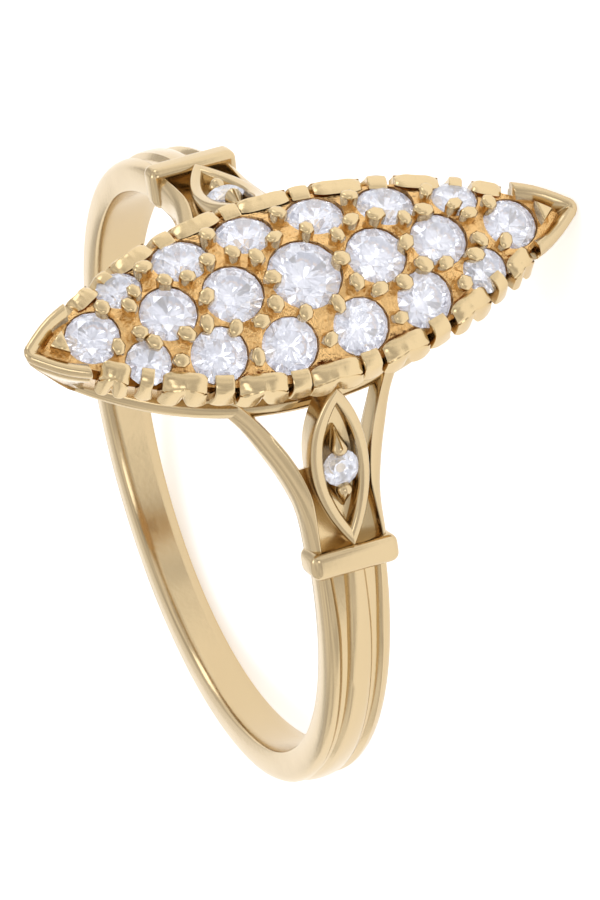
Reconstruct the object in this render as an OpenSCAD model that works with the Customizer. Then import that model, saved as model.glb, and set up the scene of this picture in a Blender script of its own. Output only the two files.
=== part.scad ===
// Navette cluster ring: nineteen claw-set diamonds in a pointed oval head on a reeded split-shoulder shank.
// Modelled upright about the middle of the finger hole, then laid down as a loose ring rests.

/* [Shank] */
// Inside diameter of the ring, the finger's size
finger_d = 17.0; // [15:0.1:21]
// Thickness of the shank between the finger and its outer face
shank_t = 1.05; // [0.8:0.05:1.6]
// Width of the shank at the back of the finger
shank_back_w = 1.25; // [1.0:0.05:1.8]
// Width of the shank where it meets the collars
shank_top_w = 2.0; // [1.8:0.05:2.4]
// Radius of the crowned outer face, measured across the band
shank_crown_r = 3.0; // [2:0.1:6]
// Depth of the two grooves that part the shank into three reeds
groove_depth = 0.2; // [0.1:0.05:0.4]
// Width of the middle reed at the collars
reed_top_w = 0.5; // [0.4:0.05:0.7]
// Width of the middle reed where the grooves have narrowed
reed_neck_w = 0.64; // [0.5:0.02:0.7]
// Width of each groove at the collars
groove_top_w = 0.5; // [0.3:0.05:0.55]
// Width of each groove where it has narrowed
groove_neck_w = 0.3; // [0.2:0.02:0.35]
// Drop below the collars over which the grooves narrow
groove_neck_drop = 1.9; // [1:0.1:4]
// Height above the back of the ring at which the grooves fade out
groove_end_h = 1.2; // [0.8:0.1:4]

/* [Collars] */
// Angle of each collar from the top of the ring
collar_angle = 43.8; // [42:0.1:46]
// Length of a collar along the band
collar_length = 0.75; // [0.5:0.05:1.2]
// Width of a collar across the band
collar_w = 2.6; // [2.5:0.05:3.2]
// How far a collar stands proud of the shank
collar_proud = 0.3; // [0.15:0.05:0.5]
// Rounding of a collar's outer edges
collar_round = 0.22; // [0.1:0.02:0.3]

/* [Split shoulders] */
// Thickness of the two arms of a shoulder
arm_t = 1.0; // [0.8:0.05:1.3]
// Distance over the outsides of the arms at the gallery rail
arm_span_top = 4.54; // [4.3:0.05:5]
// Distance over the outsides of the arms at the collar
arm_span_low = 2.25; // [2.15:0.05:2.5]
// Distance between the arms at the gallery rail
arm_gap_top = 3.7; // [3.4:0.05:3.9]
// Distance between the arms at the collar
arm_gap_low = 2.02; // [1.85:0.01:2.05]
// Radius of the hollow curve along the outside of an arm
arm_out_r = 8.6; // [7:0.1:14]
// Radius of the hollow curve along the inside of an arm
arm_in_r = 5.66; // [5:0.1:9]
// Thickness of the sunk web between the arms
web_t = 0.7; // [0.5:0.05:0.8]
// Distance of the web's upper edge from the middle of the ring
web_start = 4.1; // [3.9:0.05:4.6]
// Length by which the arms reach in under the gallery rail
arm_reach = 0.4; // [0.3:0.05:0.5]
// Angle from the top of the ring where the arms' ends start to taper up to the rail
arm_taper_angle = 32; // [28:1:36]

/* [Shoulder eyes] */
// Width of the pointed eye on each shoulder
eye_w = 1.76; // [1.5:0.02:1.84]
// Width of the eye's raised rim
eye_rim = 0.3; // [0.2:0.02:0.4]
// Depth of the eye's side walls
eye_depth = 1.05; // [0.9:0.05:1.3]
// Hollow of the eye's outer face between its two points
eye_sag = 0.34; // [0.2:0.02:0.5]
// Depth of the eye's sunk floor
eye_sink = 0.42; // [0.3:0.02:0.5]
// Height of the eye's lower point above the shank's outer face
eye_foot_proud = 0.2; // [0.1:0.02:0.3]
// Diameter of the shoulder diamonds
shoulder_d = 1.12; // [0.9:0.02:1.3]
// How far the shoulder diamond lies from the eye's middle, towards the collar
shoulder_shift = 0.17; // [0:0.01:0.3]
// How far the shoulder diamond's table stands above the eye's face
shoulder_stand = 0.08; // [0:0.01:0.15]
// Diameter of the two beads that hold a shoulder diamond
eye_bead_d = 0.44; // [0.3:0.02:0.5]

/* [Head] */
// Height of the head's middle above the finger hole's edge
head_rise = 4.03; // [3.7:0.05:5]
// Radius of the head's dome across the finger's width
dome_across_r = 4.4; // [4:0.1:6]
// Radius of the head's dome along its length
dome_along_r = 50; // [35:1:90]
// Depth of the bed between the prongs, below the dome
bed_drop = 0.5; // [0.4:0.02:0.6]
// How far claws and end rims rise above the dome
claw_rise = 0.25; // [0.1:0.01:0.3]
// Thickness of the claws and the end rims
claw_wall = 0.34; // [0.28:0.01:0.4]
// Height of the claws' outer faces below the dome's edge
claw_drop = 1.48; // [1.3:0.02:1.6]
// How far the wall under the claws leans in down to the gallery rail
wall_lean_w = 1.0; // [0.7:0.05:1.2]
// Thickness of the head's outer wall
wall_t = 0.45; // [0.35:0.02:0.6]
// Height from the dome's middle down to the ceiling of the hollow
hollow_drop = 1.93; // [1.85:0.02:2.1]
// Distance from the end diamond's edge to the point of the head
tip_reach = 1.3; // [1.2:0.02:1.6]
// Distance from the side diamonds' edge to the side of the head
side_reach = 0.36; // [0.3:0.02:0.5]
// Width of the slots between claws
slot_w = 0.15; // [0.1:0.01:0.2]
// Thickness left of the claws in front of the side diamonds' seats
claw_thin = 0.22; // [0.2:0.01:0.24]
// Width of the recess that thins the claws there
claw_recess_w = 1.1; // [1.06:0.02:1.2]
// Depth of the slots between claws
slot_depth = 0.36; // [0.2:0.02:0.45]
// Width of the narrow claw in front of each side diamond
narrow_claw_w = 0.58; // [0.4:0.02:0.7]
// Width of the narrow claw in front of the side rows' end diamonds
end_claw_w = 0.42; // [0.3:0.02:0.6]
// Distance from the end diamond's middle to the slot where the end rim starts
end_rim_start = 0.44; // [0.3:0.02:0.6]
// Size of the notches under the wide claws
notch = 0.24; // [0.1:0.02:0.3]

/* [Gallery rail] */
// Height of the rail's underside above the finger hole's edge
rail_lift = 0.3; // [0.2:0.05:0.5]
// Height of the rail
rail_h = 0.6; // [0.4:0.05:0.8]
// Overall width of the rail
rail_w = 5.18; // [5:0.02:5.4]
// Overall length of the rail
rail_l = 14.56; // [14:0.1:15]

/* [Head diamonds] */
// Diameter of the middle diamond
centre_d = 2.16; // [2:0.02:2.3]
// Diameter of the middle row's second diamonds
second_d = 1.76; // [1.6:0.02:1.9]
// Diameter of the middle row's third diamonds
third_d = 1.66; // [1.5:0.02:1.8]
// Diameter of the end diamonds
end_d = 1.58; // [1.4:0.02:1.7]
// Diameter of the side rows' middle diamonds
side_mid_d = 1.66; // [1.5:0.02:1.76]
// Diameter of the side rows' next diamonds
side_next_d = 1.66; // [1.5:0.02:1.76]
// Diameter of the side rows' end diamonds
side_end_d = 1.32; // [1.2:0.02:1.4]
// Gap between the diamonds of the middle row
row_gap = 0.27; // [0.2:0.01:0.4]
// Gap before the end diamonds
end_gap = 0.68; // [0.5:0.02:0.8]
// Gap between the two middle diamonds of a side row
side_mid_gap = 0.55; // [0.4:0.01:0.7]
// Gap between the side rows' middle and next diamonds, along the head
side_next_gap = 0.43; // [0.3:0.01:0.6]
// Gap between the side rows' next and end diamonds, along the head
side_end_gap = 0.55; // [0.4:0.01:0.7]
// Gap from a side row's middle diamond to the middle row
inner_mid_gap = 0.32; // [0.2:0.01:0.4]
// Gap from a side row's next diamond to the middle row
inner_next_gap = 0.2; // [0.15:0.01:0.3]
// Gap from a side row's end diamond to the middle row
inner_end_gap = 0.13; // [0.1:0.01:0.25]
// Diameter of the prongs between the diamonds
prong_d = 0.48; // [0.36:0.02:0.56]
// How far the prongs stand above the dome
prong_stand = 0.07; // [0.03:0.01:0.12]

/* [Diamond cut] */
// Width of the table as a share of the diamond's diameter
table_share = 0.57; // [0.5:0.01:0.65]
// Height of the crown as a share of the diamond's diameter
crown_share = 0.15; // [0.12:0.01:0.18]
// Thickness of the girdle as a share of the diamond's diameter
girdle_share = 0.03; // [0.02:0.01:0.05]
// Depth of the pavilion as a share of the diamond's diameter
pavilion_share = 0.42; // [0.38:0.01:0.45]
// How far the pavilion's lower facets reach from the culet, as a share of the diamond's radius
lower_facet_share = 0.22; // [0.18:0.01:0.3]
// Clearance between a diamond and its seat
seat_gap = 0.03; // [0.02:0.01:0.05]
// Diameter of the light hole under a diamond, as a share of the diamond's diameter
light_share = 0.4; // [0.3:0.01:0.5]

/* [Hidden] */
$fn = 64;
far = 30;

finger_r = finger_d / 2;
shank_r = finger_r + shank_t;
collar_r = shank_r + collar_proud;
collar_half_angle = collar_length / shank_r * 90 / PI;
arm_r = finger_r + arm_t;
web_r = finger_r + web_t;

// Places of the diamonds: the middle row by its gaps, the side rows by theirs and by their middle neighbour
second_y = (centre_d + second_d) / 2 + row_gap;
third_y = second_y + (second_d + third_d) / 2 + row_gap;
end_y = third_y + (third_d + end_d) / 2 + end_gap;
side_mid_y = (side_mid_d + side_mid_gap) / 2;
side_next_y = side_mid_y + (side_mid_d + side_next_d) / 2 + side_next_gap;
side_end_y = side_next_y + (side_next_d + side_end_d) / 2 + side_end_gap;
function beside(reach, along) = sqrt(reach * reach - along * along);
side_mid_x = beside((centre_d + side_mid_d) / 2 + inner_mid_gap, side_mid_y);
side_next_x = beside((second_d + side_next_d) / 2 + inner_next_gap, side_next_y - second_y);
side_end_x = beside((third_d + side_end_d) / 2 + inner_end_gap, side_end_y - third_y);

// One quarter of the head: across, along, diameter
row_stones = [[0, second_y, second_d], [0, third_y, third_d], [0, end_y, end_d]];
side_stones = [[side_mid_x, side_mid_y, side_mid_d],
               [side_next_x, side_next_y, side_next_d],
               [side_end_x, side_end_y, side_end_d]];
head_stones = concat([[0, 0, centre_d]],
                     [for (s = row_stones, end = [-1, 1]) [s[0], end * s[1], s[2]]],
                     [for (s = side_stones, side = [-1, 1], end = [-1, 1]) [side * s[0], end * s[1], s[2]]]);

// Outline of the head: two arcs that meet in a point at each end
head_half_w = side_mid_x + side_mid_d / 2 + side_reach;
head_half_l = end_y + end_d / 2 + tip_reach;
head_arc_r = (pow(head_half_l, 2) + pow(head_half_w, 2)) / (2 * head_half_w);
head_arc_c = head_arc_r - head_half_w;
rail_arc_r = (pow(rail_l, 2) + pow(rail_w, 2)) / (4 * rail_w);
rail_arc_c = rail_arc_r - rail_w / 2;

// Heights above the middle of the finger hole
dome_top = finger_r + head_rise;
dome_axis = dome_top - dome_along_r;
dome_ring_r = dome_along_r - dome_across_r;
rail_low = finger_r + rail_lift;
rail_mid = rail_low + rail_h / 2;
claw_low = dome_top - claw_drop;
hollow_top = dome_top - hollow_drop;
function dome_z(x, y, lift) =
    dome_axis + sqrt(pow(dome_ring_r + sqrt(pow(dome_across_r + lift, 2) - x * x), 2) - y * y);
rim_z = dome_z(0, head_half_l, 0);
function wall_arc_r(z) = head_arc_r + wall_lean_w * (z - rim_z) / (rim_z - rail_mid);

// Shoulder eye: a pointed leaf between the claws' lower edge and the collar, seen along its own face
eye_top = [head_half_w, claw_low];
eye_foot_angle = collar_angle - collar_half_angle;
eye_foot = (shank_r + eye_foot_proud) * [sin(eye_foot_angle), cos(eye_foot_angle)];
eye_mid = (eye_top + eye_foot) / 2;
eye_half_l = norm(eye_foot - eye_top) / 2;
eye_turn = atan2(eye_top[1] - eye_foot[1], eye_foot[0] - eye_top[0]);
eye_bow_r = (pow(eye_half_l, 2) + pow(eye_sag, 2)) / (2 * eye_sag);
shoulder_stone_z = eye_bow_r - eye_sag - sqrt(pow(eye_bow_r, 2) - pow(shoulder_shift, 2)) + shoulder_stand;

// The ring rests on one point of its head and on the back edge of its shank
tip_z = dome_z(0, head_half_l, claw_rise);
tip_y = sqrt(pow(wall_arc_r(tip_z), 2) - pow(head_arc_c, 2));
rest_tilt = atan((tip_y - shank_back_w / 2) / (tip_z + shank_r));

// Prongs of one quarter: their diamond, angle from the head's length, distance from it in prong widths
at_centre = [0, 0, centre_d];
at_second = row_stones[0];
at_third = row_stones[1];
at_end = row_stones[2];
at_side_mid = side_stones[0];
at_side_next = side_stones[1];
at_side_end = side_stones[2];
quarter_prongs = [[at_centre, 67, 0.46], [at_second, 143, 0.75], [at_second, 110, 0.60],
                  [at_side_mid, 1, 0.54], [at_second, 71, 0.54], [at_third, 139, 0.65],
                  [at_third, 104, 0.10], [at_side_next, 352, 0.75], [at_third, 47, 0.54],
                  [at_third, 22, 0.60], [at_end, 131, 0.06]];
row_prongs = [[at_centre, 0, -0.04], [at_third, 180, 0.62]];
waist_prong = [at_side_mid, 176, 0.58];
point_prong = [at_end, 0, 0.31];
function prong_place(p) = [p[0][0], p[0][1]] + (p[0][2] / 2 + p[2] * prong_d) * [sin(p[1]), cos(p[1])];

// Angles along the head's arc: slots on both sides of each narrow claw, and one before the end rim
function arc_angle(s) = atan2(s[1], s[0] + head_arc_c);
function arc_share(w) = w / head_arc_r * 180 / PI;
claw_angles = [for (s = side_stones) arc_angle(s)];
claw_widths = [narrow_claw_w, narrow_claw_w, end_claw_w];
end_rim_angle = asin((end_y + end_rim_start) / head_arc_r);
slot_angles = concat([for (i = [0:2], side = [-1, 1])
                          claw_angles[i] + side * arc_share(claw_widths[i] + slot_w) / 2],
                     [end_rim_angle]);
notch_angles = [(claw_angles[0] + claw_angles[1]) / 2, (claw_angles[1] + claw_angles[2]) / 2];

// Centre of the arc of radius r from a to b that is hollow towards +Y
function arc_centre(a, b, r) =
    let (half = (b - a) / 2, up = [-half[1], half[0]] / norm(half))
    (a + b) / 2 + up * sqrt(r * r - half * half);
arm_top_x = rail_w / 2 - arm_reach / 2;
arm_low_x = arm_r * sin(eye_foot_angle);
arm_end_x = rail_w / 2 - arm_reach;

// Turns the upright ring onto its side, with the head's face to the front
module lay() {
    rotate([0, 0, 180]) rotate([rest_tilt - 90, 0, 0]) children();
}

// Puts its children on the dome, with their own height along the dome's normal
module on_dome(x, y) {
    lean = asin(x / dome_across_r);
    roll = asin(y / (dome_ring_r + dome_across_r * cos(lean)));
    translate([0, 0, dome_axis]) rotate([-roll, 0, 0]) translate([0, 0, dome_ring_r])
        rotate([0, lean, 0]) translate([0, 0, dome_across_r]) children();
}

// Puts its children in the eye's own frame: its length along X, its outer face up
module on_eye() {
    translate([eye_mid[0], 0, eye_mid[1]]) rotate([0, eye_turn, 0]) children();
}

module both_sides() {
    children();
    mirror([1, 0, 0]) children();
}

// Solid below the dome raised by lift, as far down as the dome's own circle goes
module dome_solid(lift) {
    sweep = 2 * asin(head_half_l / dome_ring_r) + 4;
    translate([0, 0, dome_axis]) rotate([0, -90, 0]) rotate([0, 0, -sweep / 2])
        rotate_extrude(angle = sweep, $fn = 360)
            translate([dome_ring_r, 0]) circle(r = dome_across_r + lift, $fn = 128);
}

module arc_outline(r, c) {
    intersection() {
        translate([-c, 0]) circle(r = r, $fn = 360);
        translate([c, 0]) circle(r = r, $fn = 360);
    }
}

// Leaning wall of the head, inset from its outer face, between two heights
module wall_solid(inset, low, high) {
    intersection_for (side = [-1, 1])
        translate([side * head_arc_c, 0, low])
            cylinder(h = high - low, r1 = wall_arc_r(low) - inset, r2 = wall_arc_r(high) - inset, $fn = 360);
}

// Bar profile with its two upper corners rounded
module bar_2d(w, low, high, round) {
    translate([-w / 2, low]) square([w, high - low - round]);
    translate([-w / 2 + round, low]) square([w - 2 * round, high - low]);
    for (side = [-1, 1]) translate([side * (w / 2 - round), high - round]) circle(r = round, $fn = 32);
}

module shank() {
    difference() {
        intersection() {
            rotate([90, 0, 0]) rotate_extrude($fn = 180) intersection() {
                translate([shank_r - shank_crown_r, 0]) circle(r = shank_crown_r, $fn = 180);
                translate([finger_r - shank_t / 2, -collar_w]) square([2 * shank_t, 2 * collar_w]);
            }
            rotate([90, 0, 90]) linear_extrude(far, center = true) shank_taper_2d();
        }
        rotate([90, 0, 0]) linear_extrude(far, center = true)
            polygon([[0, 0], far * [sin(collar_angle), cos(collar_angle)],
                     far * [-sin(collar_angle), cos(collar_angle)]]);
        difference() {
            rotate([90, 0, 90]) linear_extrude(far, center = true) {
                groove_2d();
                mirror([1, 0]) groove_2d();
            }
            rotate([90, 0, 0]) cylinder(h = far, r = shank_r - groove_depth, center = true, $fn = 180);
        }
    }
}

// The shank seen from the side of the hand: narrow at the back, wider at the collars
module shank_taper_2d() {
    top = shank_r * cos(collar_angle);
    slope = (shank_top_w - shank_back_w) / 2 / (top + shank_r);
    extra = 1;
    polygon([[-shank_back_w / 2 + slope * extra, -shank_r - extra],
             [shank_back_w / 2 - slope * extra, -shank_r - extra],
             [shank_top_w / 2 + slope * extra, top + extra],
             [-shank_top_w / 2 - slope * extra, top + extra]]);
}

module groove_2d() {
    top = shank_r * cos(collar_angle);
    neck = top - groove_neck_drop;
    polygon([[reed_top_w / 2, top + 1], [reed_top_w / 2, top], [reed_neck_w / 2, neck],
             [shank_back_w / 4, groove_end_h - shank_r],
             [(reed_neck_w / 2 + groove_neck_w), neck], [reed_top_w / 2 + groove_top_w, top],
             [reed_top_w / 2 + groove_top_w, top + 1]]);
}

module collar() {
    rotate([0, collar_angle, 0]) intersection() {
        rotate([90, 0, 0]) linear_extrude(2 * collar_w, center = true)
            bar_2d(collar_length, finger_r - shank_t / 2, collar_r, collar_round);
        rotate([90, 0, 90]) linear_extrude(2 * collar_length, center = true)
            bar_2d(collar_w, finger_r - shank_t / 2, collar_r, collar_round);
    }
}

// Field between two mirrored arcs that pass the arms' ends, seen from above
module arm_field_2d(span_top, span_low, r, start) {
    centre = arc_centre([arm_top_x, span_top / 2], [arm_low_x, span_low / 2], r);
    difference() {
        translate([start, -arm_span_top]) square([arm_r - start, 2 * arm_span_top]);
        for (side = [-1, 1]) translate([centre[0], side * centre[1]]) circle(r = r, $fn = 256);
    }
}

// Band of the arms seen along the finger, tapered where it runs up under the rail
module arm_side_2d(r) {
    taper_x = finger_r * sin(arm_taper_angle);
    intersection() {
        difference() {
            circle(r = r, $fn = 256);
            circle(r = finger_r - shank_t / 2, $fn = 256);
        }
        polygon([[0, 0], [0, far], far * [sin(collar_angle), cos(collar_angle)]]);
        polygon([[arm_end_x, rail_low - rail_h / 4], [taper_x, sqrt(pow(finger_r, 2) - pow(taper_x, 2))],
                 [taper_x, 0],
                 [far, 0], [far, far], [arm_end_x, far]]);
    }
}

module arms() {
    intersection() {
        rotate([90, 0, 0]) linear_extrude(2 * arm_span_top, center = true) arm_side_2d(arm_r);
        linear_extrude(far) difference() {
            arm_field_2d(arm_span_top, arm_span_low, arm_out_r, arm_end_x);
            arm_field_2d(arm_gap_top, arm_gap_low, arm_in_r, 0);
        }
    }
    intersection() {
        rotate([90, 0, 0]) linear_extrude(2 * arm_span_top, center = true) arm_side_2d(web_r);
        linear_extrude(far) arm_field_2d((arm_gap_top + arm_span_top) / 2, (arm_gap_low + arm_span_low) / 2,
                                         (arm_in_r + arm_out_r) / 2, web_start);
    }
}

// Leaf with its length along X
module leaf_2d(half_l, half_w) {
    r = (half_l * half_l + half_w * half_w) / (2 * half_w);
    intersection_for (side = [-1, 1]) translate([0, side * (r - half_w)]) circle(r = r, $fn = 256);
}

// Everything above the eye's hollow face lowered by sink
module eye_bowl(sink) {
    translate([0, 0, eye_bow_r - eye_sag]) rotate([90, 0, 0])
        cylinder(h = 3 * eye_w, r = eye_bow_r + sink, center = true, $fn = 256);
}

module eye() {
    bead_x = shoulder_d / 2 + eye_bead_d / 4;
    inner_half_l = eye_half_l - eye_rim * eye_half_l / eye_w * 2;
    on_eye() {
        difference() {
            intersection() {
                linear_extrude(4 * eye_depth, center = true) leaf_2d(eye_half_l, eye_w / 2);
                eye_bowl(eye_depth);
            }
            eye_bowl(0);
            intersection() {
                linear_extrude(4 * eye_depth, center = true) leaf_2d(inner_half_l, eye_w / 2 - eye_rim);
                eye_bowl(eye_sink);
            }
        }
        for (side = [-1, 1])
            translate([shoulder_shift + side * bead_x, 0, -eye_sag - eye_sink - eye_rim / 2])
                cylinder(h = eye_sink + eye_rim / 2 + shoulder_stand, d = eye_bead_d, $fn = 32);
    }
}

module rail() {
    translate([0, 0, rail_low]) linear_extrude(rail_h) arc_outline(rail_arc_r, rail_arc_c);
}

module claws() {
    clear = end_y + end_rim_start;
    intersection() {
        translate([0, 0, claw_low]) linear_extrude(2 * claw_drop) intersection() {
            arc_outline(head_arc_r, head_arc_c);
            translate([-far / 2, -clear]) square([far, 2 * clear]);
        }
        dome_solid(claw_rise);
    }
}

// Slot at an angle of the head's arc, cut down from the claws' top edge
module slot(angle) {
    x = head_arc_r * cos(angle) - head_arc_c;
    y = head_arc_r * sin(angle);
    low = dome_z(x, y, claw_rise) - slot_depth;
    translate([-head_arc_c, 0, low]) rotate([0, 0, angle])
        translate([head_arc_r - claw_wall, -slot_w / 2, 0]) cube([2 * claw_wall, slot_w, 4 * slot_depth]);
}

// Recess behind a narrow claw, where the edge of a side diamond's seat comes close
module claw_recess(angle) {
    x = head_arc_r * cos(angle) - head_arc_c;
    y = head_arc_r * sin(angle);
    translate([-head_arc_c, 0, dome_z(x, y, claw_rise) - slot_depth]) rotate([0, 0, angle])
        translate([head_arc_r - 2 * claw_wall, -claw_recess_w / 2, 0])
            cube([2 * claw_wall - claw_thin, claw_recess_w, 4 * slot_depth]);
}

module notch_cut(angle) {
    translate([-head_arc_c, 0, claw_low]) rotate([0, 0, angle])
        translate([head_arc_r - claw_wall, 0, 0]) rotate([0, 90, 0])
            cylinder(h = 2 * claw_wall, r = notch, $fn = 4);
}

module prong(mark, sides) {
    place = prong_place(mark);
    on_dome(place[0], place[1]) translate([0, 0, -bed_drop - prong_d / 4])
        cylinder(h = bed_drop + prong_d / 4 + prong_stand, d = prong_d, $fn = sides);
}

module prongs() {
    for (side = [0, 1], end = [0, 1]) mirror([side, 0, 0]) mirror([0, end, 0])
        for (mark = quarter_prongs) prong(mark, 24);
    for (end = [0, 1]) mirror([0, end, 0]) {
        for (mark = row_prongs) prong(mark, 24);
        prong(point_prong, 3);
    }
    both_sides() prong(waist_prong, 24);
}

// Space for a diamond, drilled in steps, and the light hole under it, with the table's middle at the origin
module seat(d) {
    r = d / 2 + seat_gap;
    girdle_low = -(crown_share + girdle_share) * d;
    step = pavilion_share * d / 3;
    translate([0, 0, girdle_low - step]) cylinder(h = d, r = r, $fn = 48);
    translate([0, 0, girdle_low - 2 * step]) cylinder(h = 2 * step, r = r * 2 / 3, $fn = 48);
    translate([0, 0, -2 * hollow_drop])
        cylinder(h = 2 * hollow_drop + girdle_low - 1.5 * step, d = light_share * d, $fn = 48);
}

// Brilliant cut with the table's middle at the origin: table, stars, kites, girdle, pavilion
module brilliant(d) {
    r = d / 2;
    table_r = table_share * r;
    girdle_top = -crown_share * d;
    girdle_low = girdle_top - girdle_share * d;
    culet = girdle_low - pavilion_share * d;
    star_r = (table_r + r) / 2;
    star_z = girdle_top * (star_r * cos(22.5) - table_r) / (r - table_r);
    main_r = lower_facet_share * r;
    main_z = culet + (girdle_low - culet) * main_r * cos(22.5) / r;
    function ring(n, radius, z, first) =
        [for (i = [0:n - 1]) [radius * cos(first + i * 360 / n), radius * sin(first + i * 360 / n), z]];
    points = concat(ring(8, table_r, 0, 0), ring(8, star_r, star_z, 22.5), ring(16, r, girdle_top, 0),
                    ring(16, r, girdle_low, 0), ring(8, main_r, main_z, 22.5), [[0, 0, culet]]);
    star = 8;
    top = 16;
    low = 32;
    main = 48;
    tip = 56;
    faces = concat(
        [[for (i = [7:-1:0]) i]],
        [for (i = [0:7]) [i, (i + 1) % 8, star + i]],
        [for (i = [0:7]) [i, star + i, top + 2 * i, star + (i + 7) % 8]],
        [for (i = [0:7]) [star + i, top + 2 * i + 1, top + 2 * i]],
        [for (i = [0:7]) [star + i, top + (2 * i + 2) % 16, top + 2 * i + 1]],
        [for (i = [0:15]) [top + i, top + (i + 1) % 16, low + (i + 1) % 16, low + i]],
        [for (i = [0:7]) [low + 2 * i, low + 2 * i + 1, main + i]],
        [for (i = [0:7]) [low + 2 * i + 1, low + (2 * i + 2) % 16, main + i]],
        [for (i = [0:7]) [low + 2 * i, main + i, tip, main + (i + 7) % 8]]);
    polyhedron(points, faces);
}

// Outside of the head: the leaning wall, the claws' band and the rail
module head_blank() {
    intersection() {
        wall_solid(0, rail_low + rail_h / 4, dome_top + claw_rise);
        dome_solid(claw_rise);
    }
    claws();
    rail();
}

// The head with the bed sunk between its claws and the hollow under it
module head_open() {
    difference() {
        head_blank();
        difference() {
            translate([0, 0, hollow_top + wall_t / 4]) linear_extrude(far)
                arc_outline(head_arc_r - claw_wall, head_arc_c);
            dome_solid(-bed_drop);
        }
        wall_solid(wall_t, rail_low - 1, hollow_top);
    }
}

module head_clawed() {
    difference() {
        head_open();
        for (side = [0, 1], end = [0, 1]) mirror([side, 0, 0]) mirror([0, end, 0]) {
            for (a = slot_angles) slot(a);
            for (a = notch_angles) notch_cut(a);
            for (i = [0, 1]) claw_recess(claw_angles[i]);
        }
    }
}

module head_seated() {
    difference() {
        union() {
            head_clawed();
            prongs();
        }
        for (s = head_stones) on_dome(s[0], s[1]) seat(s[2]);
    }
}

// Everything below the head, with the finger hole through it
module band() {
    difference() {
        union() {
            both_sides() eye();
            both_sides() arms();
            both_sides() collar();
            shank();
        }
        wall_solid(wall_t, rail_low - 1, hollow_top);
        rotate([90, 0, 0]) cylinder(h = far, r = finger_r, center = true, $fn = 180);
        both_sides() on_eye() translate([shoulder_shift, 0, shoulder_stone_z]) seat(shoulder_d);
    }
}

module gold_mount() {
    color("#e0bd74") lay() {
        head_seated();
        band();
    }
}

module head_diamond(s) {
    color("#e9ebf3") lay() on_dome(s[0], s[1]) brilliant(s[2]);
}

module shoulder_diamond(side) {
    color("#e9ebf3") lay() mirror([side, 0, 0]) on_eye() translate([shoulder_shift, 0, shoulder_stone_z])
        brilliant(shoulder_d);
}

gold_mount();
for (i = [1:19]) head_diamond(head_stones[i - 1]);
for (i = [1:2]) shoulder_diamond(i - 1);
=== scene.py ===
# %% [markdown]
# A navette ring: nineteen small diamonds in a long pointed head, on a split-shoulder gold band. The
# construction model is loaded as a fixed frame, and every piece of gold is then modelled again over it,
# with the rounded edges and small cuts that a jeweller leaves. The diamonds keep their construction
# meshes, because their flat facets are already right, and only get a material.

import math
import random

import bmesh
import bpy
from mathutils import Matrix, Vector


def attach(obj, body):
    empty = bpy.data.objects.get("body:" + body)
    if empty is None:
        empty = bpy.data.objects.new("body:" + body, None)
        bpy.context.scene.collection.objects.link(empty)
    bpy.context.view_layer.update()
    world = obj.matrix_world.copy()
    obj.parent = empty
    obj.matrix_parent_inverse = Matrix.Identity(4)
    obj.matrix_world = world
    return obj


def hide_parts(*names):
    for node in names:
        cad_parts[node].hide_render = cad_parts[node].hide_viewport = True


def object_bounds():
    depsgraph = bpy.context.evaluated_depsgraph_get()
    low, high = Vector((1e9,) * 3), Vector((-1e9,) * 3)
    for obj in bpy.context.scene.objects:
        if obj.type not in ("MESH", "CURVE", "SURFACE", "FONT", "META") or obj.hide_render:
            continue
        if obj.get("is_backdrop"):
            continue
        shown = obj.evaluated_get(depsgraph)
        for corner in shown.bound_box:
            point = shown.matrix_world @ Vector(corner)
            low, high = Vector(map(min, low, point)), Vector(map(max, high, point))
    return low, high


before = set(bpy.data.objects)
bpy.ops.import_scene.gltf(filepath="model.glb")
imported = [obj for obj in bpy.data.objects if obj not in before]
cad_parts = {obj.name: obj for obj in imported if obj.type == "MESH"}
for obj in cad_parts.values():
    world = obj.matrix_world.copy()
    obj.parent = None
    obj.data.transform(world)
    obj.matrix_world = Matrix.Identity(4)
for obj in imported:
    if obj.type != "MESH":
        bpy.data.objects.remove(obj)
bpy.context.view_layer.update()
print("construction nodes:", len(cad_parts))

# %% [markdown]
# The ring is designed upright: the finger hole's middle is the origin, the finger runs along Y and the
# head is up, along Z. Blender's edit tools expect a scene of metres, and some of their limits are near a
# tenth of a millimetre, so the pieces are worked at a thousand times their size, one unit to the
# millimetre. Each finished piece is then shrunk and laid on its side in one step, just as the loose ring
# comes to rest on its head's point.

# %% Sizes of the ring, in millimetres and degrees
FINGER_R = 8.5
SHANK_R = 9.55
COLLAR_ANGLE = 43.8
# how far the finger's axis leans from upright when the ring lies at rest
REST_TILT = 20.6158
MM = 0.001
HEAD_HALF_L = 8.6
HEAD_HALF_W = 3.127
HEAD_ARC_R = (HEAD_HALF_L ** 2 + HEAD_HALF_W ** 2) / (2 * HEAD_HALF_W)
HEAD_ARC_C = HEAD_ARC_R - HEAD_HALF_W
DOME_TOP = 12.53
DOME_ACROSS_R = 4.4
DOME_ALONG_R = 50.0
RAIL_LOW, RAIL_HIGH = 8.8, 9.25
RAIL_HALF_L, RAIL_HALF_W = 6.8, 2.6
CLAW_LOW = 11.05
WALL_LEAN = 1.0


def dome_z(x, y, lift=0.0):
    """Height of the head's dome over a place in its plan."""
    across = math.sqrt((DOME_ACROSS_R + lift) ** 2 - x * x)
    return DOME_TOP - DOME_ALONG_R + math.sqrt((DOME_ALONG_R - DOME_ACROSS_R + across) ** 2 - y * y)


RIM_Z = dome_z(0, HEAD_HALF_L)
RAIL_MID = (RAIL_LOW + RAIL_HIGH) / 2


def wall_arc(z):
    """Radius of the head wall's two arcs at a height: the wall leans in down to the rail."""
    return HEAD_ARC_R + WALL_LEAN * (z - RIM_Z) / (RIM_Z - RAIL_MID)


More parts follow.
